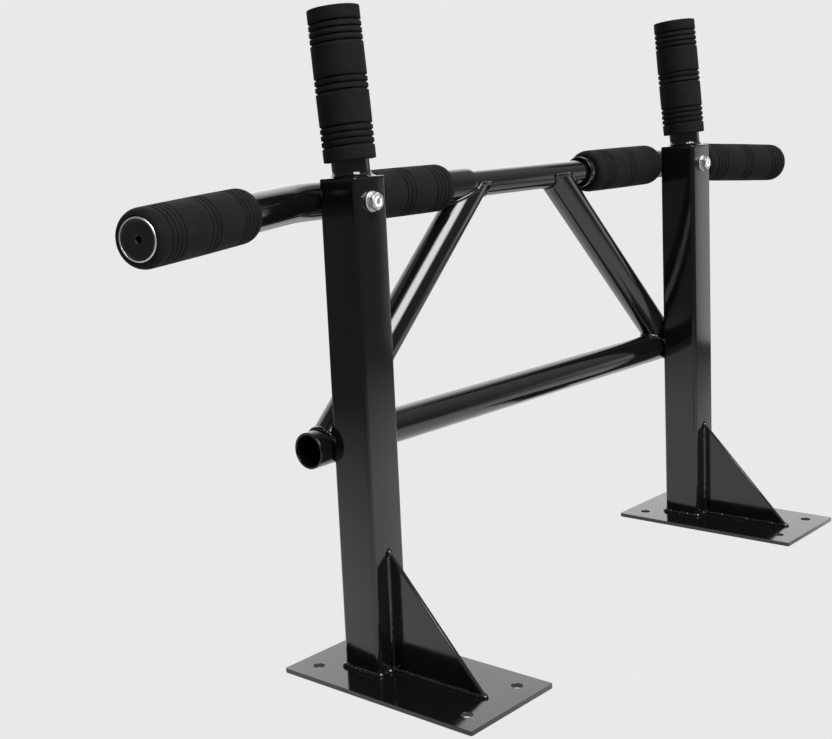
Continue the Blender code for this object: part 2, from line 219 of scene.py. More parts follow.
def add_piece(name, points, faces, material, slot, stands_for=(), sharp=40, padded=None):
    """Makes the mesh of one piece, closes its poles, turns its faces out and puts it on the frame.

    Edges that turn by more than the sharp angle, in degrees, stay crisp
    """
    mesh = bpy.data.meshes.new(name)
    points = np.asarray(points, float).reshape(-1, 3)
    mesh.from_pydata(points.tolist(), [], faces.tolist())
    shape = bmesh.new()
    shape.from_mesh(mesh)
    bmesh.ops.remove_doubles(shape, verts=shape.verts, dist=0.002 * MM)
    bmesh.ops.dissolve_degenerate(shape, edges=shape.edges, dist=0.001 * MM)
    bmesh.ops.recalc_face_normals(shape, faces=shape.faces)
    shape.to_mesh(mesh)
    shape.free()
    mesh.shade_smooth()
    mesh.set_sharp_from_angle(angle=math.radians(sharp))
    mesh.materials.append(material)
    piece = bpy.data.objects.new(name, mesh)
    bpy.context.scene.collection.objects.link(piece)
    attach(piece, "root")
    if stands_for:
        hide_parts(*stands_for)
    return piece


class Axis:
    """A path that a profile is carried along, given as close points, with one steady side vector."""

    def __init__(self, points, side):
        self.points = np.asarray(points, float)
        steps = np.linalg.norm(np.diff(self.points, axis=0), axis=1)
        self.distance = np.concatenate(([0], np.cumsum(steps)))
        self.length = self.distance[-1]
        tangent = np.gradient(self.points, self.distance, axis=0, edge_order=1)
        self.tangent = tangent / np.linalg.norm(tangent, axis=1)[:, None]
        self.side = unit(side)

    def point(self, along):
        """The one point at a distance along."""
        return self.at(np.array([along]))[0][0]

    def at(self, along):
        """Point, side vector and cross vector at each distance along; past an end it runs straight on."""
        inside = np.clip(along, 0, self.length)
        point = np.stack([np.interp(inside, self.distance, self.points[:, k]) for k in range(3)], -1)
        ahead = np.stack([np.interp(inside, self.distance, self.tangent[:, k]) for k in range(3)], -1)
        ahead = ahead / np.linalg.norm(ahead, axis=-1, keepdims=True)
        point = point + ahead * (along - inside)[..., None]
        side = self.side - (ahead @ self.side)[..., None] * ahead
        side = side / np.linalg.norm(side, axis=-1, keepdims=True)
        return point, side, np.cross(ahead, side)


def straight_axis(start, end, side=(0, 1, 0)):
    """A straight path, point = start + share * (end - start)."""
    return Axis([start, (np.asarray(start) + np.asarray(end)) / 2, end], side)


def carried_ring(axis, along, radius, sides):
    """A circle of each radius at each distance along the axis. Both may depend on the angle too.

    point = axis(along) + radius * (cos(turn) * side + sin(turn) * cross)
    """
    turn = np.arange(sides) / sides * 2 * np.pi
    along = np.broadcast_to(np.asarray(along, float).reshape(len(along), -1), (len(along), sides))
    radius = np.broadcast_to(np.asarray(radius, float).reshape(len(radius), -1), (len(radius), sides))
    point, side, cross = axis.at(along)
    cosine, sine = np.cos(turn)[None, :, None], np.sin(turn)[None, :, None]
    return point + radius[..., None] * (cosine * side + sine * cross)


def ring_piece(name, axis, loop, material, slot, sides=96, **more):
    """A turned or carried ring. Its closed loop holds (distance along, radius) pairs."""
    loop = np.asarray(loop, float)
    points = carried_ring(axis, loop[:, 0], loop[:, 1], sides)
    return add_piece(name, points, grid_faces(len(loop), sides), material, slot, **more)


def quarter(middle_along, middle_radius, size_along, size_radius, start, stop, steps=5):
    """Points on a quarter ellipse, from angle start to stop in degrees, 0 being outward along the axis."""
    angle = np.radians(np.linspace(start, stop, steps))
    return np.stack((middle_along + size_along * np.cos(angle), middle_radius + size_radius * np.sin(angle)), -1)


def tube_loop(length, outer, inner, edge, stations=24):
    """Section of an open tube: its outer side, a rounded lip at each end, and its bore."""
    along = np.linspace(edge, length - edge, stations)[1:-1]
    return np.concatenate((
        quarter(edge, outer - edge, edge, edge, 180, 90),
        np.stack((along, np.full_like(along, outer)), -1),
        quarter(length - edge, outer - edge, edge, edge, 90, 0),
        quarter(length - edge, inner + edge, edge, edge, 0, -90),
        np.stack((along[::-1], np.full_like(along, inner)), -1),
        quarter(edge, inner + edge, edge, edge, -90, -180),
    ))


def rounded_square(half, corner, steps=8):
    """Outline of a square with round corners, as (x, y) and the outward direction at each point."""
    angle = np.radians((np.arange(4)[:, None] * 90 + np.linspace(0, 90, steps)[None, :]).ravel())
    outward = np.stack((np.cos(angle), np.sin(angle)), -1)
    signs = np.repeat(np.array([(1, 1), (-1, 1), (-1, -1), (1, -1)], float), steps, axis=0)
    return signs * (half - corner) + corner * outward, outward


def square_piece(name, centre, loop, material, stands_for, sharp=40):
    """A ring or block of a post's outline, with its centre at a post's. Its loop holds (height, inset) pairs.

    point = outline - inset * outward, until the corner's radius is used up, and from there on the outline
    shrinks toward the centre in X and Y alike
    """
    corner = bpy.context.scene.station_frame.post_corner
    outline, outward = rounded_square(POST_HALF, corner)
    loop = np.asarray(loop, float)
    inset = np.minimum(loop[:, 1], corner - 0.2 * MM)
    extra = loop[:, 1] - inset
    flat = outline - inset[:, None, None] * outward - extra[:, None, None] * np.sign(outline)
    height = np.broadcast_to(loop[:, 0][:, None, None], flat.shape[:2] + (1,))
    points = np.concatenate((flat + centre[:2], height), -1)
    faces = grid_faces(len(loop), len(outline))
    return add_piece(name, points, faces, material, "painted_tube", stands_for=stands_for, sharp=sharp)


def weld_bead(name, path, radius, material, closed, lift=(0, 0, 1), ripple=0.12, pitch=3.2 * MM):
    """A bead along a path, with the ripples of one drop after another.

    radius * (1 + ripple * (strength * cos(drops) + wander)): the drops are one pitch apart, but their
    spacing and their strength drift along the bead, and an open bead is drawn down to nothing at its ends
    """
    path = np.asarray(path, float)
    if closed:
        path = np.concatenate((path, path[:1]))
    steps = np.linalg.norm(np.diff(path, axis=0), axis=1)
    distance = np.concatenate(([0], np.cumsum(steps)))
    drops = max(2, round(distance[-1] / pitch))
    stations = drops * 8 + (0 if closed else 1)
    along = np.linspace(0, distance[-1], stations, endpoint=not closed)
    point = np.stack([np.interp(along, distance, path[:, k]) for k in range(3)], -1)
    ahead = np.roll(point, -1, 0) - np.roll(point, 1, 0)
    if not closed:
        ahead[0], ahead[-1] = point[1] - point[0], point[-1] - point[-2]
    ahead = ahead / np.linalg.norm(ahead, axis=1)[:, None]
    up = np.asarray(lift, float) - (ahead @ np.asarray(lift, float))[:, None] * ahead
    up = up / np.linalg.norm(up, axis=1)[:, None]
    across = np.cross(ahead, up)
    share = along / distance[-1] * 2 * np.pi
    third, fifth = max(1, drops // 3), max(1, drops // 5)
    phase = share * drops + 1.1 * np.sin(share * fifth + 0.7)
    strength = 0.55 + 0.45 * np.sin(share * third + 2.1) * np.sin(share * fifth)
    wander = 0.7 * np.sin(share * third + 1.3) + 0.6 * np.sin(share * fifth + 4.0)
    size = radius * (1 + ripple * (strength * np.cos(phase) + wander))
    if not closed:
        end = np.minimum(along, distance[-1] - along) / (1.6 * radius)
        size = size * np.sqrt(np.clip(1 - (1 - np.clip(end, 0, 1)) ** 2, 0, 1))
    sides = 14
    turn = np.arange(sides) / sides * 2 * np.pi
    lean = 0.25 * radius * np.sin(turn)[None, :, None] * np.sin(phase)[:, None, None]
    ring = np.cos(turn)[None, :, None] * up[:, None] + np.sin(turn)[None, :, None] * across[:, None]
    points = point[:, None] + size[:, None, None] * ring + lean * ahead[:, None] * 0.5
    faces = grid_faces(stations, sides, wrap_rows=closed)
    return add_piece(name, points, faces, material, "painted_tube", sharp=80)


# ---------------------------------------------------------------- materials


def linear(code):
    """An sRGB hex colour as linear RGBA."""
    parts = [int(code[i : i + 2], 16) / 255 for i in (0, 2, 4)]
    return (*[c / 12.92 if c <= 0.04045 else ((c + 0.055) / 1.055) ** 2.4 for c in parts], 1.0)


def add_node(tree, kind, settings=None, links=None):
    """Adds a node, sets its fields and sockets, and links its inputs from (node, output) pairs."""
    node = tree.nodes.new(kind)
    for key, value in (settings or {}).items():
        if isinstance(key, int) or key in node.inputs:
            node.inputs[key].default_value = value
        else:
            setattr(node, key, value)
    for key, (source, output) in (links or {}).items():
        tree.links.new(source.outputs[output], node.inputs[key])
    return node


def new_material(name, color, roughness, sockets=None):
    """A material whose Principled shader has these constants, with its tree and its shader."""
    material = bpy.data.materials.new(name)
    material.use_nodes = True
    shader = material.node_tree.nodes["Principled BSDF"]
    constants = {"Base Color": linear(color), "Roughness": roughness, **(sockets or {})}
    for socket, value in constants.items():
        shader.inputs[socket].default_value = value
    return material, material.node_tree, shader


def powder_coat(name, finish, wave, strength):
    """Powder coat: sprayed dry on steel and baked, so it is gloss black with a faint orange-peel wave."""
    gloss = finish.paint_roughness
    material, tree, shader = new_material(name, finish.paint, gloss, {"IOR": 1.5})
    place = add_node(tree, "ShaderNodeTexCoord")
    peel = add_node(
        tree, "ShaderNodeTexNoise", {"Scale": 1 / wave, "Detail": 2.0, "Roughness": 0.4}, {"Vector": (place, "Object")}
    )
    bump = add_node(tree, "ShaderNodeBump", {"Strength": strength, "Distance": 0.2 * MM}, {"Height": (peel, "Fac")})
    tree.links.new(bump.outputs["Normal"], shader.inputs["Normal"])
    # Handling leaves patches a little duller, some 40 mm across.
    patch = add_node(
        tree, "ShaderNodeTexNoise", {"Scale": 1 / (40 * MM), "Detail": 3.0}, {"Vector": (place, "Object")}
    )
    dull = add_node(
        tree,
        "ShaderNodeMapRange",
        {"From Min": 0.35, "From Max": 0.75, "To Min": gloss, "To Max": gloss + 0.06},
        {"Value": (patch, "Fac")},
    )
    tree.links.new(dull.outputs["Result"], shader.inputs["Roughness"])
    return material


def foam_rubber(name, finish):
    """Closed-cell foam rubber: an extruded sleeve with a skin of fine cells, so it is a dull, soft black."""
    sockets = {"IOR": 1.45, "Specular IOR Level": 0.22}
    material, tree, shader = new_material(name, finish.foam_light, 0.85, sockets)
    place = add_node(tree, "ShaderNodeTexCoord")
    # Real cells are about 0.3 mm: drawn at 0.9 mm so that they show.
    cells = add_node(
        tree, "ShaderNodeTexVoronoi", {"Scale": 1 / (0.9 * MM), "Randomness": 1.0}, {"Vector": (place, "Object")}
    )
    # The skin is cloudy over some 9 mm, in colour and in height.
    cloud = add_node(
        tree, "ShaderNodeTexNoise", {"Scale": 1 / (9 * MM), "Detail": 6.0}, {"Vector": (place, "Object")}
    )
    shade = add_node(tree, "ShaderNodeValToRGB", {}, {"Fac": (cloud, "Fac")})
    dark, light = shade.color_ramp.elements
    dark.position, dark.color = 0.3, linear(finish.foam_dark)
    light.position, light.color = 0.75, linear(finish.foam_light)
    tree.links.new(shade.outputs["Color"], shader.inputs["Base Color"])
    bump = add_node(
        tree, "ShaderNodeBump", {"Strength": 0.6, "Distance": 0.3 * MM}, {"Height": (cells, "Distance")}
    )
    soft = add_node(
        tree,
        "ShaderNodeBump",
        {"Strength": 0.3, "Distance": 0.5 * MM},
        {"Height": (cloud, "Fac"), "Normal": (bump, "Normal")},
    )
    tree.links.new(soft.outputs["Normal"], shader.inputs["Normal"])
    return material


def moulded_plastic(name, finish):
    """Polythene: injection moulded, so it is satin black with the fine spark texture of its mould."""
    material, tree, shader = new_material(name, finish.plastic, 0.42, {"IOR": 1.5})
    place = add_node(tree, "ShaderNodeTexCoord")
    # A spark texture is about 0.2 mm: drawn at 0.8 mm so that it shows.
    grain = add_node(
        tree, "ShaderNodeTexNoise", {"Scale": 1 / (0.8 * MM), "Detail": 3.0}, {"Vector": (place, "Object")}
    )
    bump = add_node(tree, "ShaderNodeBump", {"Strength": 0.25, "Distance": 0.1 * MM}, {"Height": (grain, "Fac")})
    tree.links.new(bump.outputs["Normal"], shader.inputs["Normal"])
    return material


def zinc_plate(name, finish):
    """Zinc plating on cold-headed steel: a pale metal, slightly clouded over some 5 mm."""
    material, tree, shader = new_material(name, finish.zinc_light, 0.5, {"Metallic": 1.0})
    place = add_node(tree, "ShaderNodeTexCoord")
    cloud = add_node(
        tree, "ShaderNodeTexNoise", {"Scale": 1 / (5 * MM), "Detail": 4.0}, {"Vector": (place, "Object")}
    )
    dull = add_node(
        tree,
        "ShaderNodeMapRange",
        {"From Min": 0.3, "From Max": 0.7, "To Min": 0.42, "To Max": 0.6},
        {"Value": (cloud, "Fac")},
    )
    tree.links.new(dull.outputs["Result"], shader.inputs["Roughness"])
    shade = add_node(tree, "ShaderNodeValToRGB", {}, {"Fac": (cloud, "Fac")})
    dark, light = shade.color_ramp.elements
    dark.position, dark.color = 0.3, linear(finish.zinc_dark)
    light.position, light.color = 0.7, linear(finish.zinc_light)
    tree.links.new(shade.outputs["Color"], shader.inputs["Base Color"])
    bump = add_node(tree, "ShaderNodeBump", {"Strength": 0.15, "Distance": 0.1 * MM}, {"Height": (cloud, "Fac")})
    tree.links.new(bump.outputs["Normal"], shader.inputs["Normal"])
    return material


def bare_steel(name, finish):
    """Steel rim: sawn and then rubbed bright, so it is a pale satin metal with fine marks."""
    material, tree, shader = new_material(name, finish.rim, 0.42, {"Metallic": 1.0})
    place = add_node(tree, "ShaderNodeTexCoord")
    # Saw marks are about 0.2 mm apart: drawn at 1.2 mm so that they show.
    marks = add_node(
        tree, "ShaderNodeTexNoise", {"Scale": 1 / (1.2 * MM), "Detail": 2.0}, {"Vector": (place, "Object")}
    )
    bump = add_node(tree, "ShaderNodeBump", {"Strength": 0.2, "Distance": 0.08 * MM}, {"Height": (marks, "Fac")})
    tree.links.new(bump.outputs["Normal"], shader.inputs["Normal"])
    return material


# Name, maker and, for paint, the width of its orange-peel wave and how strong it is.
MATERIALS = {
    "tube": ("gloss_powder_coat_on_tube", powder_coat, 3.0 * MM, 0.05),
    "plate": ("gloss_powder_coat_on_plate", powder_coat, 4.0 * MM, 0.04),
    "weld": ("gloss_powder_coat_on_weld", powder_coat, 2.0 * MM, 0.12),
    "foam": ("closed_cell_foam_rubber", foam_rubber),
    "plastic": ("moulded_black_polythene", moulded_plastic),
    "zinc": ("bright_zinc_plated_steel", zinc_plate),
    "rim": ("rubbed_bright_steel_rim", bare_steel),
}


def finish_of(key):
    """The material of that key, made the first time that a piece needs it."""
    name, make, *more = MATERIALS[key]
    return bpy.data.materials.get(name) or make(name, bpy.context.scene.station_finish, *more)


# ---------------------------------------------------------------- axes of the tubes


def outer_direction(side):
    """Direction of a side bar beyond its bend: turned forward, then down."""
    sizes = bpy.context.scene.station_frame
    index = SIDES.index(side)
    forward, down = sizes.forward[index], sizes.down[index]
    level = math.cos(down)
    return np.array((OUTWARD[side] * math.cos(forward) * level, -math.sin(forward) * level, -math.sin(down)))


def bend_corner(side):
    """Where a side bar's two straight lines would meet."""
    sizes = bpy.context.scene.station_frame
    return np.array((POST[side][0] + OUTWARD[side] * sizes.bend_offset, BAR[1], BAR[2]))


def side_bar_axis(side):
    """A side bar's path from inside out: a straight, an arc and a straight.

    The arc is its start + radius * (sin(angle) * outward + (1 - cos(angle)) * across), from 0 to the angle
    that the bar turns by, and it starts radius * tan(turn / 2) before the corner
    """
    sizes = bpy.context.scene.station_frame
    index = SIDES.index(side)
    inward = np.array((-OUTWARD[side], 0.0, 0.0))
    outward = outer_direction(side)
    turn = math.acos(float(-inward @ outward))
    tangent = sizes.bend_radius * math.tan(turn / 2)
    corner = bend_corner(side)
    across = unit(outward + inward * float(-outward @ inward))
    inner_end = np.array((POST[side][0] - OUTWARD[side] * sizes.inner_end[index], BAR[1], BAR[2]))
    arc_start = corner + inward * tangent
    angle = np.linspace(0, turn, 40)[:, None]
    arc = arc_start - inward * sizes.bend_radius * np.sin(angle) + across * sizes.bend_radius * (1 - np.cos(angle))
    grip = bpy.context.scene.station_grips
    outer_end = corner + outward * (sizes.reach[index] - grip.flange)
    share = np.linspace(0, 1, 30)[:, None]
    inner = inner_end + (arc_start - inner_end) * share
    outer = arc[-1] + (outer_end - arc[-1]) * share
    return Axis(np.concatenate((inner[:-1], arc, outer[1:])), np.cross(inward, outward))


def handle_axis(side):
    """From the cap's top to the plug's seat, leaning back."""
    sizes = bpy.context.scene.station_frame
    lean = unit((0, sizes.lean, 1))
    foot = np.array((POST[side][0], POST[side][1], CAP_TOP))
    top = foot + lean * ((sizes.handle_top - CAP_TOP) / lean[2])
    return straight_axis(foot, top, side=(1, 0, 0))


# ---------------------------------------------------------------- pieces


def painted_copy(node, width):
    """A painted copy of a CAD node: its loose triangles merged, and its cut edges softened to that width."""
    name = f"painted_{node}"
    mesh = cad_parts[node].data.copy()
    mesh.name = name
    shape = bmesh.new()
    shape.from_mesh(mesh)
    bmesh.ops.remove_doubles(shape, verts=shape.verts, dist=0.002 * MM)
    bmesh.ops.dissolve_limit(shape, angle_limit=math.radians(1), verts=shape.verts, edges=shape.edges)
    shape.to_mesh(mesh)
    shape.free()
    mesh.materials.clear()
    mesh.materials.append(finish_of("plate"))
    mesh.shade_smooth()
    mesh.set_sharp_from_angle(angle=math.radians(40))
    piece = bpy.data.objects.new(name, mesh)
    bpy.context.scene.collection.objects.link(piece)
    bevel = piece.modifiers.new("painted_edge", "BEVEL")
    bevel.width = width
    bevel.segments = 3
    bevel.limit_method = "ANGLE"
    bevel.angle_limit = math.radians(50)
    bevel.harden_normals = True
    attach(piece, "root")
    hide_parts(node)


def build_plates():
    """The plates and gussets keep their CAD shape. A gusset's sheared edge is the rounder one."""
    sizes = bpy.context.scene.station_frame
    for side in SIDES:
        painted_copy(f"base_plate_{side}", sizes.soft_edge)
        painted_copy(f"gusset_{side}", 1.6 * sizes.soft_edge)


def build_posts():
    """Each post is a square ring drawn up, and its cap a square block with a quarter round at its top.

    The quarter round is height = top - radius * (1 - sin(angle)) and inset = radius * (1 - cos(angle))
    """
    sizes = bpy.context.scene.station_frame
    edge, wall = sizes.soft_edge, sizes.wall
    inmost = POST_HALF - 1 * MM
    arc = np.radians(np.linspace(0, 90, 5))
    for side in SIDES:
        foot, seam = (corner[2] for corner in corners(f"post_{side}"))
        loop = [(foot + edge, 0), (seam, 0), (seam, wall), (foot, wall), (foot, edge)]
        square_piece(f"painted_post_{side}", POST[side], loop, finish_of("tube"), [f"post_{side}"])
        # The paint runs over the seam between cap and post, so the cap starts at the post's top.
        top = corners(f"post_cap_{side}")[1][2]
        rounding = np.stack((top - sizes.cap_edge * (1 - np.sin(arc)), sizes.cap_edge * (1 - np.cos(arc))), -1)
        block = [(seam, inmost), (seam, 0), *rounding.tolist(), (top, inmost)]
        square_piece(f"painted_cap_{side}", POST[side], block, finish_of("tube"), [f"post_cap_{side}"], 50)


def level_axis(node):
    """The axis of a level bar, from its left end to its right end."""
    low, high = corners(node)
    centre = (low + high) / 2
    return straight_axis((low[0], centre[1], centre[2]), (high[0], centre[1], centre[2]))


def painted_tube(node, axis, radius, **more):
    """An open tube along an axis, in a CAD node's place."""
    sizes = bpy.context.scene.station_frame
    loop = tube_loop(axis.length, radius, radius - sizes.wall, sizes.soft_edge, **more)
    ring_piece(f"painted_{node}", axis, loop, finish_of("tube"), "painted_tube", stands_for=[node])


def build_bars():
    """The side bars, bent outside the posts, and the two straight tubes between them."""
    for side in SIDES:
        painted_tube(f"side_bar_{side}", side_bar_axis(side), TUBE_RADIUS, stations=90)
    painted_tube("centre_bar", level_axis("centre_bar"), CENTRE_BAR_RADIUS)
    painted_tube("lower_tube", level_axis("lower_tube"), TUBE_RADIUS)


def brace_ends(side):
    """Foot and head of a brace's axis, on the lower tube's axis and the bars' axis."""
    sizes = bpy.context.scene.station_frame
    foot = np.array((POST[side][0] + OUTWARD[side] * sizes.brace_foot, LOWER_TUBE[1], LOWER_TUBE[2]))
    head = np.array((POST[side][0] - OUTWARD[side] * sizes.brace_top, BAR[1], BAR[2]))
    return foot, head


def cope(axis, radius, turn, bar_height, bar_radius, sign):
    """Distance along a brace at which each line of its surface meets a level bar.

    A line is beside the bar's axis by radius * sin(turn), so it meets the bar's surface at the height
    bar_height + sign * sqrt(bar_radius^2 - beside^2), and at the axis's height where it passes beside it.
    """
    start, side, cross = axis.at(np.zeros(1))
    slope = axis.tangent[0]
    offset = radius * (np.cos(turn)[:, None] * side[0] + np.sin(turn)[:, None] * cross[0])
    beside = offset[:, 1]
    height = bar_height + sign * np.sqrt(np.clip(bar_radius**2 - beside**2, 0, None))
    return (height - start[0, 2] - offset[:, 2]) / slope[2]


def brace_cuts(side, radius, sides):
    """Foot and head distances of a brace, for each line of a surface of that radius."""
    sizes = bpy.context.scene.station_frame
    foot, head = brace_ends(side)
    axis = straight_axis(foot, head)
    turn = np.arange(sides) / sides * 2 * np.pi
    lower = cope(axis, radius, turn, LOWER_TUBE[2], TUBE_RADIUS + GAP, 1)
    upper = cope(axis, radius, turn, CENTRE_BAR[2], CENTRE_BAR_RADIUS + GAP, -1)
    on_side_bar = cope(axis, radius, turn, BAR[2], TUBE_RADIUS + GAP, -1)
    point, side_vector, cross = axis.at(on_side_bar)
    surface = point + radius * (np.cos(turn)[:, None] * side_vector + np.sin(turn)[:, None] * cross)
    reach = (surface[:, 0] - POST[side][0]) * -OUTWARD[side]
    under_side_bar = reach < sizes.inner_end[SIDES.index(side)]
    return axis, lower, np.where(under_side_bar, on_side_bar, upper)


def build_braces():
    """Each brace is a tube whose lines run from cope to cope: along = foot + share * (head - foot)."""
    sizes = bpy.context.scene.station_frame
    sides, stations = 144, 16
    weld_paint = finish_of("weld")
    for side in SIDES:
        axis, outer_foot, outer_head = brace_cuts(side, TUBE_RADIUS, sides)
        _, inner_foot, inner_head = brace_cuts(side, TUBE_RADIUS - sizes.wall, sides)
        share = np.linspace(0, 1, stations)[:, None]
        outer = outer_foot + (outer_head - outer_foot) * share
        inner = (inner_foot + (inner_head - inner_foot) * share)[::-1]
        along = np.concatenate((outer, inner))
        radius = np.repeat((TUBE_RADIUS, TUBE_RADIUS - sizes.wall), stations)
        points = carried_ring(axis, along, radius, sides)
        add_piece(
            f"painted_brace_{side}", points, grid_faces(2 * stations, sides), finish_of("tube"), "painted_tube",
            stands_for=[f"brace_{side}"],
        )
        foot_path = carried_ring(axis, outer_foot[None], np.array([TUBE_RADIUS]), sides)[0]
        weld_bead(f"weld_brace_foot_{side}", foot_path, 1.1 * sizes.weld, weld_paint, True, axis.tangent[0], 0.07)
        head_path = carried_ring(axis, outer_head[None], np.array([TUBE_RADIUS]), sides)[0]
        weld_bead(f"weld_brace_head_{side}", head_path, 0.85 * sizes.weld, weld_paint, True, axis.tangent[0], 0.015)


def handle_fillet(side):
    """A hollow fillet round a handle's foot.

    height = size * (1 - sin(angle)) and radius = tube's radius + size * (1 - cos(angle)), where the size
    swells and shrinks round the foot as the welder's drops do, and the ring leans back with the handle
    """
    sizes = bpy.context.scene.station_frame
    sides = 240
    turn = np.arange(sides) / sides * 2 * np.pi
    size = 2.1 * sizes.weld * (1 + 0.05 * np.cos(19 * turn + np.sin(3 * turn)) + 0.1 * np.sin(5 * turn + 0.6))
    angle = np.radians(np.linspace(90, 0, 9))[:, None]
    height = size * (1 - np.sin(angle))
    radius = TUBE_RADIUS + size * (1 - np.cos(angle))
    sunk = TUBE_RADIUS - 0.5 * MM
    height = np.concatenate((height, height[-1:], height[:1]))
    radius = np.concatenate((radius, np.full((2, sides), sunk)))
    x = POST[side][0] + radius * np.cos(turn)
    y = POST[side][1] + radius * np.sin(turn) + sizes.lean * height
    points = np.stack((x, y, CAP_TOP + 0.05 * MM + height), -1)
    faces = grid_faces(len(height), sides)
    add_piece(f"weld_handle_{side}", points, faces, finish_of("weld"), "painted_tube", sharp=70)


def level_foot(axis, radius, sides):
    """Distance at which each line of a leaning tube starts, so that its foot is level and clear of the cap.

    along = (gap - offset's height) / rise
    """
    turn = np.arange(sides) / sides * 2 * np.pi
    _, side, cross = axis.at(np.zeros(1))
    offset = radius * (np.cos(turn)[:, None] * side[0] + np.sin(turn)[:, None] * cross[0])
    return (GAP - offset[:, 2]) / axis.tangent[0][2]


def build_handles():
    """Each handle is a leaning tube with a level foot and a square top, welded on its cap."""
    outer = TUBE_RADIUS
    inner = outer - bpy.context.scene.station_frame.wall
    sides = 96
    for side in SIDES:
        axis = handle_axis(side)
        top = np.full(sides, axis.length - bpy.context.scene.station_grips.flange - GAP)
        along = np.stack((level_foot(axis, outer, sides), top, top, level_foot(axis, inner, sides)))
        points = carried_ring(axis, along, np.array([outer, outer, inner, inner]), sides)
        add_piece(
            f"painted_handle_tube_{side}", points, grid_faces(4, sides), finish_of("tube"), "painted_tube",
            stands_for=[f"handle_tube_{side}"],
        )
        handle_fillet(side)


def groove_centres(length):
    """Three groups of grooves: four near each end and three in the middle."""
    grip = bpy.context.scene.station_grips
    near = grip.first_groove + grip.groove_pitch * np.arange(4)
    centre = length / 2 + grip.groove_pitch * np.array((-1, 0, 1))
    return np.concatenate((near, centre, length - near[::-1]))


def grip_loop(length, bore, round_length, round_radius):
    """Section of a grooved sleeve.

    The outer radius is the grip's, less a groove's depth times ((1 + cos) / 2) ^ 0.7 of the distance from
    the groove's centre. Half a sine from end to end swells its middle, and each end turns in on a quarter
    ellipse of that length and radius
    """
    grip = bpy.context.scene.station_grips
    half = grip.groove_width / 2
    notch = np.linspace(-1, 1, 13)
    centres = groove_centres(length)
    near_grooves = (centres[:, None] + notch[None] * half).ravel()
    plain = np.linspace(round_length, length - round_length, 50)
    clear = np.abs(plain[:, None] - centres[None]).min(1) > half * 1.2
    along = np.unique(np.concatenate((near_grooves, plain[clear])))
    gap = np.abs(along[:, None] - centres[None]).min(1)
    depth = np.where(gap < half, grip.groove_depth * (0.5 + 0.5 * np.cos(np.pi * gap / half)) ** 0.7, 0)
    swell = grip.swell * np.sin(np.pi * np.clip(along / length, 0, 1)) - grip.swell
    outer = np.stack((along, GRIP_RADIUS - depth + swell), -1)
    middle_radius = GRIP_RADIUS - grip.swell - round_radius
    start = quarter(round_length, middle_radius, round_length, round_radius, 180, 90, 9)
    end = quarter(length - round_length, middle_radius, round_length, round_radius, 90, 0, 9)
    return np.concatenate((start[:-1], outer, end[1:], [(length, bore), (0, bore)]))


def foam_sleeve(node, start, end, side, *rounding):
    """A grip from start to end, in a CAD node's place."""
    axis = straight_axis(start, end, side)
    loop = grip_loop(axis.length, TUBE_RADIUS + GAP, *rounding)
    ring_piece(
        f"foam_{node}", axis, loop, finish_of("foam"), "foam",
        sides=120, stands_for=[node], sharp=70, padded=0.9,
    )


def build_grips():
    """Square-ended grips on the handles, and round-ended ones on the side bars."""
    grip = bpy.context.scene.station_grips
    soft = (grip.round_end, GRIP_RADIUS - TUBE_RADIUS - GAP - 0.7 * MM)
    for side in SIDES:
        axis = handle_axis(side)
        # A leaning grip's front edge would stand above the plug, so it stops a little lower.
        foot, top = axis.length - grip.handle_length, axis.length - 0.2 * MM
        square = (grip.handle_edge, grip.handle_edge)
        foam_sleeve(f"handle_grip_{side}", axis.point(foot), axis.point(top), (1, 0, 0), *square)
        low, high = corners(f"inner_grip_{side}")
        foam_sleeve(f"inner_grip_{side}", (low[0], *BAR[1:]), (high[0], *BAR[1:]), (0, 1, 0), *soft)
        outward = outer_direction(side)
        end = side_bar_axis(side).points[-1] + outward * grip.flange
        foam_sleeve(f"outer_grip_{side}", end - outward * grip.outer_length, end, (0, 1, 0), *soft)


def plug_loop():
    """A plug's section: a dished face with a rolled edge, a sleeve in the tube and a hole down its middle.

    The face's height is its lowest + dish * share^2, where the share runs from the hole to the rolled edge
    """
    grip = bpy.context.scene.station_grips
    bore = TUBE_RADIUS - bpy.context.scene.station_frame.wall
    hole, depth = grip.plug_hole, grip.plug_depth
    sleeve, face = bore - GAP, bore + 0.4 * MM
    dish, roll, lip, chamfer = 0.5 * MM, 1.2 * MM, 0.7 * MM, 1 * MM
    share = np.linspace(0, 1, 10)
    across = hole + 0.5 * MM + (face - roll - hole - 0.5 * MM) * share
    height = grip.flange - 0.9 * MM + dish * share**2
    return np.concatenate((
        [(-depth, hole), (grip.flange - 1.6 * MM, hole)],
        quarter(grip.flange - 1.6 * MM, hole + lip, lip, lip, -90, 0)[1:-1],
        np.stack((height, across), -1),
        quarter(grip.flange - roll, face - roll, roll, roll, 0, 90)[1:],
        [(GAP, face), (GAP, sleeve), (chamfer - depth, sleeve), (-depth, sleeve - chamfer)],
    ))


def rim_loop(top):
    """Section of the bright rim of a tube's end: a wide quarter round outside and a small one inside."""
    inner, outer = TUBE_RADIUS - bpy.context.scene.station_frame.wall + 0.7 * MM, TUBE_RADIUS
    wide, small, low = 0.9 * MM, 0.2 * MM, 0.4 * MM
    return np.concatenate((
        quarter(top - wide, outer - wide, wide, wide, 90, 0, 7),
        quarter(top - small, inner + small, small, small, 0, -90),
        [(low, inner), (low, outer)],
    ))


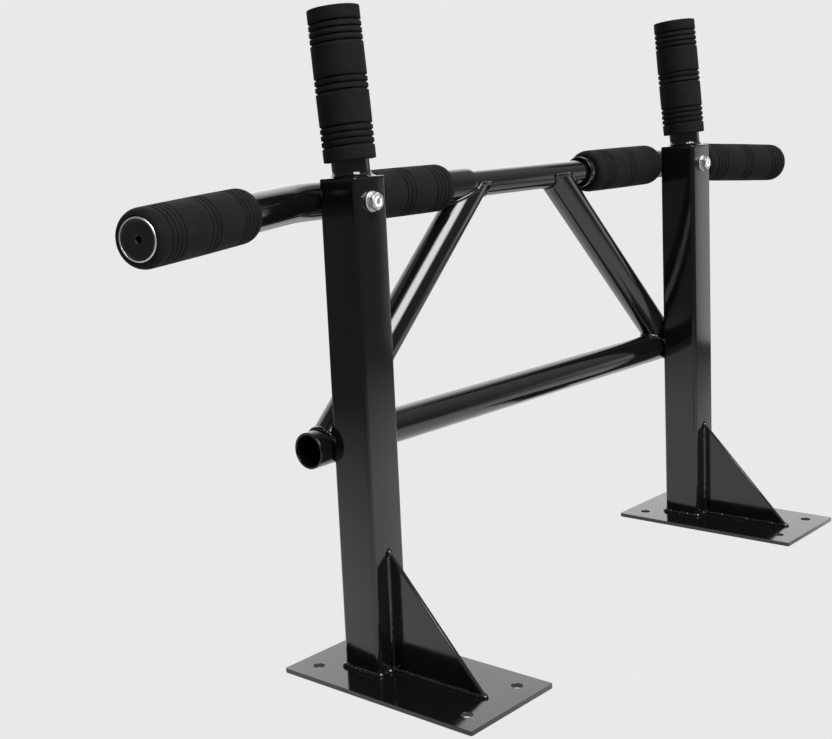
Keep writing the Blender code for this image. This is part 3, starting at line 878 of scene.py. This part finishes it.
def build_plugs():
    """Each plug sits inside the bright rim of its tube's end, which stands proud of a side bar's plug."""
    grip = bpy.context.scene.station_grips
    for side in SIDES:
        handle = handle_axis(side)
        ends = (
            ("end_plug", side_bar_axis(side).points[-1], outer_direction(side), 0.5 * MM),
            ("handle_plug", handle.point(handle.length - grip.flange), handle.tangent[0], -0.1 * MM),
        )
        for kind, seat, direction, proud in ends:
            axis = straight_axis(seat, seat + direction * 10 * MM, (0.3, 1, 0.2))
            ring_piece(
                f"plastic_{kind}_{side}", axis, plug_loop(), finish_of("plastic"), "plastic",
                stands_for=[f"{kind}_{side}"], sharp=45,
            )
            loop = rim_loop(grip.flange + proud)
            ring_piece(f"bright_rim_{kind}_{side}", axis, loop, finish_of("rim"), "zinc", sharp=60)


def hexagon_radius(turn, across_flats):
    """Distance from the axis to a hexagon's side: half its width / cos(angle from the nearest flat)."""
    return across_flats / 2 / np.cos((turn + np.pi / 6) % (np.pi / 3) - np.pi / 6)


def hexagon_piece(name, axis, height, across_flats, bore, both_ends, node):
    """A hexagonal head or nut. Its corners are cut by a cone: each ring's height falls with its radius.

    height = full height - (radius - crown's radius) * tan(28 degrees), outside the crown
    """
    sides = 120
    turn = np.arange(sides) / sides * 2 * np.pi
    side = hexagon_radius(turn, across_flats)
    crown = across_flats / 2 * 0.96
    drop = np.clip(side - crown, 0, None) * math.tan(math.radians(28))
    flat = np.full(sides, 1.0)
    rows = [(height * flat, bore * flat), (height * flat, crown * flat), (height - drop, side)]
    if both_ends:
        rows += [(drop, side), (0 * flat, crown * flat), (0 * flat, bore * flat)]
    else:
        rows += [(0 * flat, side), (0 * flat, bore * flat)]
    along = np.stack([row[0] for row in rows])
    radius = np.stack([row[1] for row in rows])
    points = carried_ring(axis, along, radius, sides)
    add_piece(name, points, grid_faces(len(rows), sides), finish_of("zinc"), "zinc", stands_for=[node], sharp=22)


def front_to_back(centre, front, back):
    """The axis of a fastener, at its centre's X and Z and between two places in Y."""
    return straight_axis((centre[0], front, centre[2]), (centre[0], back, centre[2]), (1, 0, 0))


def build_washer(node):
    """A flat ring with the round edges of a stamped washer."""
    sizes = bpy.context.scene.station_fasteners
    low, high = corners(node)
    axis = front_to_back((low + high) / 2, low[1], high[1])
    loop = tube_loop(high[1] - low[1], (high[0] - low[0]) / 2, sizes.washer_bore, sizes.washer_edge, stations=3)
    ring_piece(f"zinc_{node}", axis, loop, finish_of("zinc"), "zinc", stands_for=[node], sharp=60)


def build_shank(side, axis, thread_start):
    """A bolt's shank, from under its head to its tip.

    Beyond the thread's start, radius = shank's - depth * ridge, where the ridge is a triangle wave of
    distance / pitch - turn / full turn, so that it winds round. Both ends close on the axis
    """
    sizes = bpy.context.scene.station_fasteners
    pitch, tip, pole, sides = sizes.thread_pitch, 0.8 * MM, 1e-6, 64
    length = axis.length
    threads = np.arange(thread_start, length - tip, pitch / 8)
    along = np.concatenate(([-0.5 * MM, thread_start], threads, [length - tip, length, length]))
    turn = np.arange(sides) / sides
    ridge = np.abs(((along[:, None] / pitch - turn) % 1) * 2 - 1)
    cut = np.where((along > thread_start)[:, None], sizes.thread_depth * ridge, 0)
    cut[-2] = 1.5 * sizes.thread_depth
    radius = sizes.shank_radius - cut
    radius[-1] = pole
    radius = np.concatenate((np.full((1, sides), pole), radius))
    along = np.concatenate((along[:1], along))
    points = carried_ring(axis, along, radius, sides)
    faces = grid_faces(len(along), sides, wrap_rows=False)
    add_piece(f"zinc_bolt_shank_{side}", points, faces, finish_of("zinc"), "zinc", sharp=60)


def build_fasteners():
    """On each side a washer, a head and a shank in front, and a washer and a nut behind."""
    sizes = bpy.context.scene.station_fasteners
    for side in SIDES:
        build_washer(f"washer_front_{side}")
        build_washer(f"washer_rear_{side}")
        low, high = corners(f"bolt_{side}")
        nut_low, nut_high = corners(f"nut_{side}")
        centre, across_flats = (low + high) / 2, high[0] - low[0]
        under_head = low[1] + sizes.head_height
        axis = front_to_back(centre, under_head, low[1])
        name, node = f"zinc_bolt_head_{side}", f"bolt_{side}"
        hexagon_piece(name, axis, sizes.head_height, across_flats, 1e-6, False, node)
        build_shank(side, front_to_back(centre, under_head, high[1]), nut_low[1] - under_head - 2 * MM)
        axis = front_to_back(centre, nut_low[1], nut_high[1])
        name, node = f"zinc_nut_{side}", f"nut_{side}"
        hexagon_piece(name, axis, nut_high[1] - nut_low[1], across_flats, sizes.nut_bore, True, node)


def build_plate_welds():
    """Beads round each post's foot, along both sides of the gusset, and where the lower tube meets a post."""
    sizes = bpy.context.scene.station_frame
    paint = finish_of("weld")
    coarse = {"ripple": 0.16, "pitch": 5 * MM}
    for side in SIDES:
        x, y = POST[side][0], POST[side][1]
        outline, _ = rounded_square(POST_HALF + 0.6 * MM, sizes.post_corner, 6)
        foot = np.column_stack((outline + (x, y), np.full(len(outline), PLATE_TOP + 0.4 * MM)))
        weld_bead(f"weld_post_foot_{side}", foot, 1.25 * sizes.weld, paint, True, **coarse)

        (left, tip, _), (right, back, top) = corners(f"gusset_{side}")
        level, shoulder, nose = PLATE_TOP + 0.3 * MM, tip + 2 * MM, tip - 1.2 * MM
        round_foot = [
            (left, back, level), (left, shoulder, level), (x, nose, level), (right, shoulder, level),
            (right, back, level),
        ]
        weld_bead(f"weld_gusset_foot_{side}", round_foot, 1.05 * sizes.weld, paint, False, **coarse)

        shoulder, nose = top - 2 * MM, top + 1.5 * MM
        over_top = [
            (left, back, PLATE_TOP), (left, back, shoulder), (x, back, nose), (right, back, shoulder),
            (right, back, PLATE_TOP),
        ]
        weld_bead(f"weld_gusset_back_{side}", over_top, sizes.weld, paint, False, (0, 1, 0), 0.04, 9 * MM)

        half, depth = 17 * MM, y + POST_HALF + 1.8 * MM
        rise = TUBE_RADIUS * math.sin(math.radians(38))
        for hand, height in (("top", LOWER_TUBE[2] + rise), ("bottom", LOWER_TUBE[2] - rise)):
            seam = [(x - half, depth, height), (x + half, depth, height)]
            weld_bead(f"weld_lower_tube_{hand}_{side}", seam, 1.3 * sizes.weld, paint, False)


# ---------------------------------------------------------------- stage


CAMERA_PLACE = Vector((POST["left"][0] - 0.80075, POST["left"][1] - 0.72099, 0.45985))
CAMERA_TURN = (0.79454, -0.15641, -0.06198)  # azimuth, elevation and roll
CAMERA_SHIFT = (0.1612, -0.0288)
FLOOR_RADIUS = 1.5
FLOOR_GLOW = {"From Min": 0.45, "From Max": 1.45, "To Min": 1.15, "To Max": 0.1}  # over distance from the middle


def direction(azimuth, elevation):
    """Unit vector from two angles."""
    level = math.cos(elevation)
    return level * math.cos(azimuth), level * math.sin(azimuth), math.sin(elevation)


def seen_or_felt(tree, kind, strength):
    """Mixes two of a kind of light: the backdrop's colour to look at, and white light on the object."""
    backdrop = linear(bpy.context.scene.station_stage.backdrop)
    ray = add_node(tree, "ShaderNodeLightPath")
    seen = add_node(tree, kind, {"Color": backdrop, "Strength": 1.0})
    felt = add_node(tree, kind, {"Color": (1, 1, 1, 1)}, {"Strength": strength})
    return add_node(tree, "ShaderNodeMixShader", {}, {0: (ray, "Is Camera Ray"), 1: (felt, 0), 2: (seen, 0)})


def build_room():
    """The room's light: dim all round, with round patches of soft light.

    A patch is full inside its inner angle and fades to nothing at its outer one
    """
    settings = bpy.context.scene.station_stage
    world = bpy.data.worlds.new("pale_room")
    bpy.context.scene.world = world
    world.use_nodes = True
    tree = world.node_tree
    tree.nodes.clear()
    ray = add_node(tree, "ShaderNodeTexCoord")
    patches = (  # azimuth, elevation, inner and outer angle in degrees, and strength
        (262, 48, 9, 26, settings.softbox),  # above the front
        (38, 14, 16, 34, settings.sweep),  # behind, level with the bars
        (-22, -6, 5, 17, 0.8 * settings.sweep),  # low on the right
        (74, 26, 12, 28, settings.sweep),  # behind, on the left
        (0, 60, 20, 70, 0.3),  # ceiling
    )
    total = add_node(tree, "ShaderNodeMath", {"operation": "ADD", 0: settings.surround, 1: 0.0})
    for azimuth, elevation, inner, outer, strength in patches:
        toward = add_node(
            tree,
            "ShaderNodeVectorMath",
            {"operation": "DOT_PRODUCT", 1: direction(math.radians(azimuth), math.radians(elevation))},
            {0: (ray, "Generated")},
        )
        patch = add_node(
            tree,
            "ShaderNodeMapRange",
            {
                "interpolation_type": "SMOOTHSTEP",
                "From Min": math.cos(math.radians(outer)),
                "From Max": math.cos(math.radians(inner)),
                "To Max": strength,
            },
            {"Value": (toward, "Value")},
        )
        links = {0: (total, "Value"), 1: (patch, "Result")}
        total = add_node(tree, "ShaderNodeMath", {"operation": "ADD"}, links)
    mix = seen_or_felt(tree, "ShaderNodeBackground", (total, "Value"))
    add_node(tree, "ShaderNodeOutputWorld", {}, {"Surface": (mix, 0)})


def build_floor():
    """A round floor that gives light back from below, less and less toward its edge."""
    sides = 96
    turn = np.arange(sides) / sides * 2 * np.pi
    below = np.full(sides, -0.2 * MM)
    ring = np.stack((FLOOR_RADIUS * np.cos(turn), FLOOR_RADIUS * np.sin(turn), below), -1)
    mesh = bpy.data.meshes.new("floor")
    mesh.from_pydata(ring.tolist(), [], [list(range(sides))])
    floor = bpy.data.objects.new("floor", mesh)
    bpy.context.scene.collection.objects.link(floor)
    material = bpy.data.materials.new("pale_matte_floor")
    material.use_nodes = True
    tree = material.node_tree
    tree.nodes.clear()
    place = add_node(tree, "ShaderNodeTexCoord")
    spread = add_node(tree, "ShaderNodeVectorMath", {"operation": "LENGTH"}, {0: (place, "Object")})
    fade = add_node(tree, "ShaderNodeMapRange", FLOOR_GLOW, {"Value": (spread, "Value")})
    mix = seen_or_felt(tree, "ShaderNodeEmission", (fade, "Result"))
    add_node(tree, "ShaderNodeOutputMaterial", {}, {"Surface": (mix, 0)})
    mesh.materials.append(material)


def camera_matrix(place, azimuth, elevation, roll):
    """Place and rotation of a camera: its -Z is the viewing direction, and roll turns it about that."""
    ahead = Vector(direction(azimuth, elevation))
    level = ahead.cross(Vector((0, 0, 1))).normalized()
    above = level.cross(ahead)
    right = level * math.cos(roll) + above * math.sin(roll)
    up = above * math.cos(roll) - level * math.sin(roll)
    matrix = Matrix((right, up, -ahead)).transposed().to_4x4()
    matrix.translation = place
    return matrix


def build_camera():
    """The camera, low on the front left, and the view transform."""
    scene = bpy.context.scene
    data = bpy.data.cameras.new("front_left_camera")
    data.lens = scene.station_stage.lens
    data.sensor_width = 36
    data.shift_x, data.shift_y = CAMERA_SHIFT
    camera = bpy.data.objects.new("front_left_camera", data)
    scene.collection.objects.link(camera)
    camera.matrix_world = camera_matrix(CAMERA_PLACE, *CAMERA_TURN)
    scene.camera = camera
    scene.view_settings.view_transform = "Standard"


# ---------------------------------------------------------------- operators


class STATION_OT_plates(bpy.types.Operator):
    """Builds the base plates and gussets"""

    bl_idname = "station.plates"
    bl_label = "Base plates and gussets"

    def execute(self, context):
        build_plates()
        return {"FINISHED"}


class STATION_OT_posts(bpy.types.Operator):
    """Builds the square posts and their caps"""

    bl_idname = "station.posts"
    bl_label = "Posts"

    def execute(self, context):
        build_posts()
        return {"FINISHED"}


class STATION_OT_bars(bpy.types.Operator):
    """Builds the side bars, the centre bar and the lower tube"""

    bl_idname = "station.bars"
    bl_label = "Bars"

    def execute(self, context):
        build_bars()
        return {"FINISHED"}


class STATION_OT_braces(bpy.types.Operator):
    """Builds the coped braces and their welds"""

    bl_idname = "station.braces"
    bl_label = "Braces"

    def execute(self, context):
        build_braces()
        return {"FINISHED"}


class STATION_OT_handles(bpy.types.Operator):
    """Builds the leaning handle tubes and their welds"""

    bl_idname = "station.handles"
    bl_label = "Handles"

    def execute(self, context):
        build_handles()
        return {"FINISHED"}


class STATION_OT_grips(bpy.types.Operator):
    """Builds the grooved foam grips"""

    bl_idname = "station.grips"
    bl_label = "Foam grips"

    def execute(self, context):
        build_grips()
        return {"FINISHED"}


class STATION_OT_plugs(bpy.types.Operator):
    """Builds the plastic plugs and the bright rims round them"""

    bl_idname = "station.plugs"
    bl_label = "End plugs"

    def execute(self, context):
        build_plugs()
        return {"FINISHED"}


class STATION_OT_fasteners(bpy.types.Operator):
    """Builds the bolts, washers and nuts"""

    bl_idname = "station.fasteners"
    bl_label = "Bolts, washers and nuts"

    def execute(self, context):
        build_fasteners()
        return {"FINISHED"}


class STATION_OT_plate_welds(bpy.types.Operator):
    """Builds the weld beads of the posts, gussets and lower tube"""

    bl_idname = "station.plate_welds"
    bl_label = "Weld beads"

    def execute(self, context):
        build_plate_welds()
        return {"FINISHED"}


class STATION_OT_stage(bpy.types.Operator):
    """Builds the camera, the light and the floor"""

    bl_idname = "station.stage"
    bl_label = "Stage"

    def execute(self, context):
        build_camera()
        build_room()
        build_floor()
        return {"FINISHED"}


OPERATORS = (
    STATION_OT_plates,
    STATION_OT_posts,
    STATION_OT_bars,
    STATION_OT_braces,
    STATION_OT_handles,
    STATION_OT_grips,
    STATION_OT_plugs,
    STATION_OT_fasteners,
    STATION_OT_plate_welds,
    STATION_OT_stage,
)


SETTINGS = {
    "station_frame": FrameSettings,
    "station_grips": GripSettings,
    "station_fasteners": FastenerSettings,
    "station_finish": FinishSettings,
    "station_stage": StageSettings,
}


class STATION_PT_panel(bpy.types.Panel):
    """Lists the station's settings and its pieces"""

    bl_label = "Dip and pull-up station"
    bl_space_type = "VIEW_3D"
    bl_region_type = "UI"
    bl_category = "Station"

    def draw(self, context):
        for name, kind in SETTINGS.items():
            box = self.layout.box()
            for field in kind.__annotations__:
                box.prop(getattr(context.scene, name), field)
        for operator in OPERATORS:
            self.layout.operator(operator.bl_idname)


CLASSES = (*SETTINGS.values(), *OPERATORS, STATION_PT_panel)


def register():
    for kind in CLASSES:
        bpy.utils.register_class(kind)
    for name, kind in SETTINGS.items():
        setattr(bpy.types.Scene, name, bpy.props.PointerProperty(type=kind))


def unregister():
    for name in SETTINGS:
        delattr(bpy.types.Scene, name)
    for kind in reversed(CLASSES):
        bpy.utils.unregister_class(kind)


def main():
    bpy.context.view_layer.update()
    register()
    for operator in OPERATORS:
        group, name = operator.bl_idname.split(".")
        getattr(getattr(bpy.ops, group), name)()


if __name__ == "__main__":
    main()
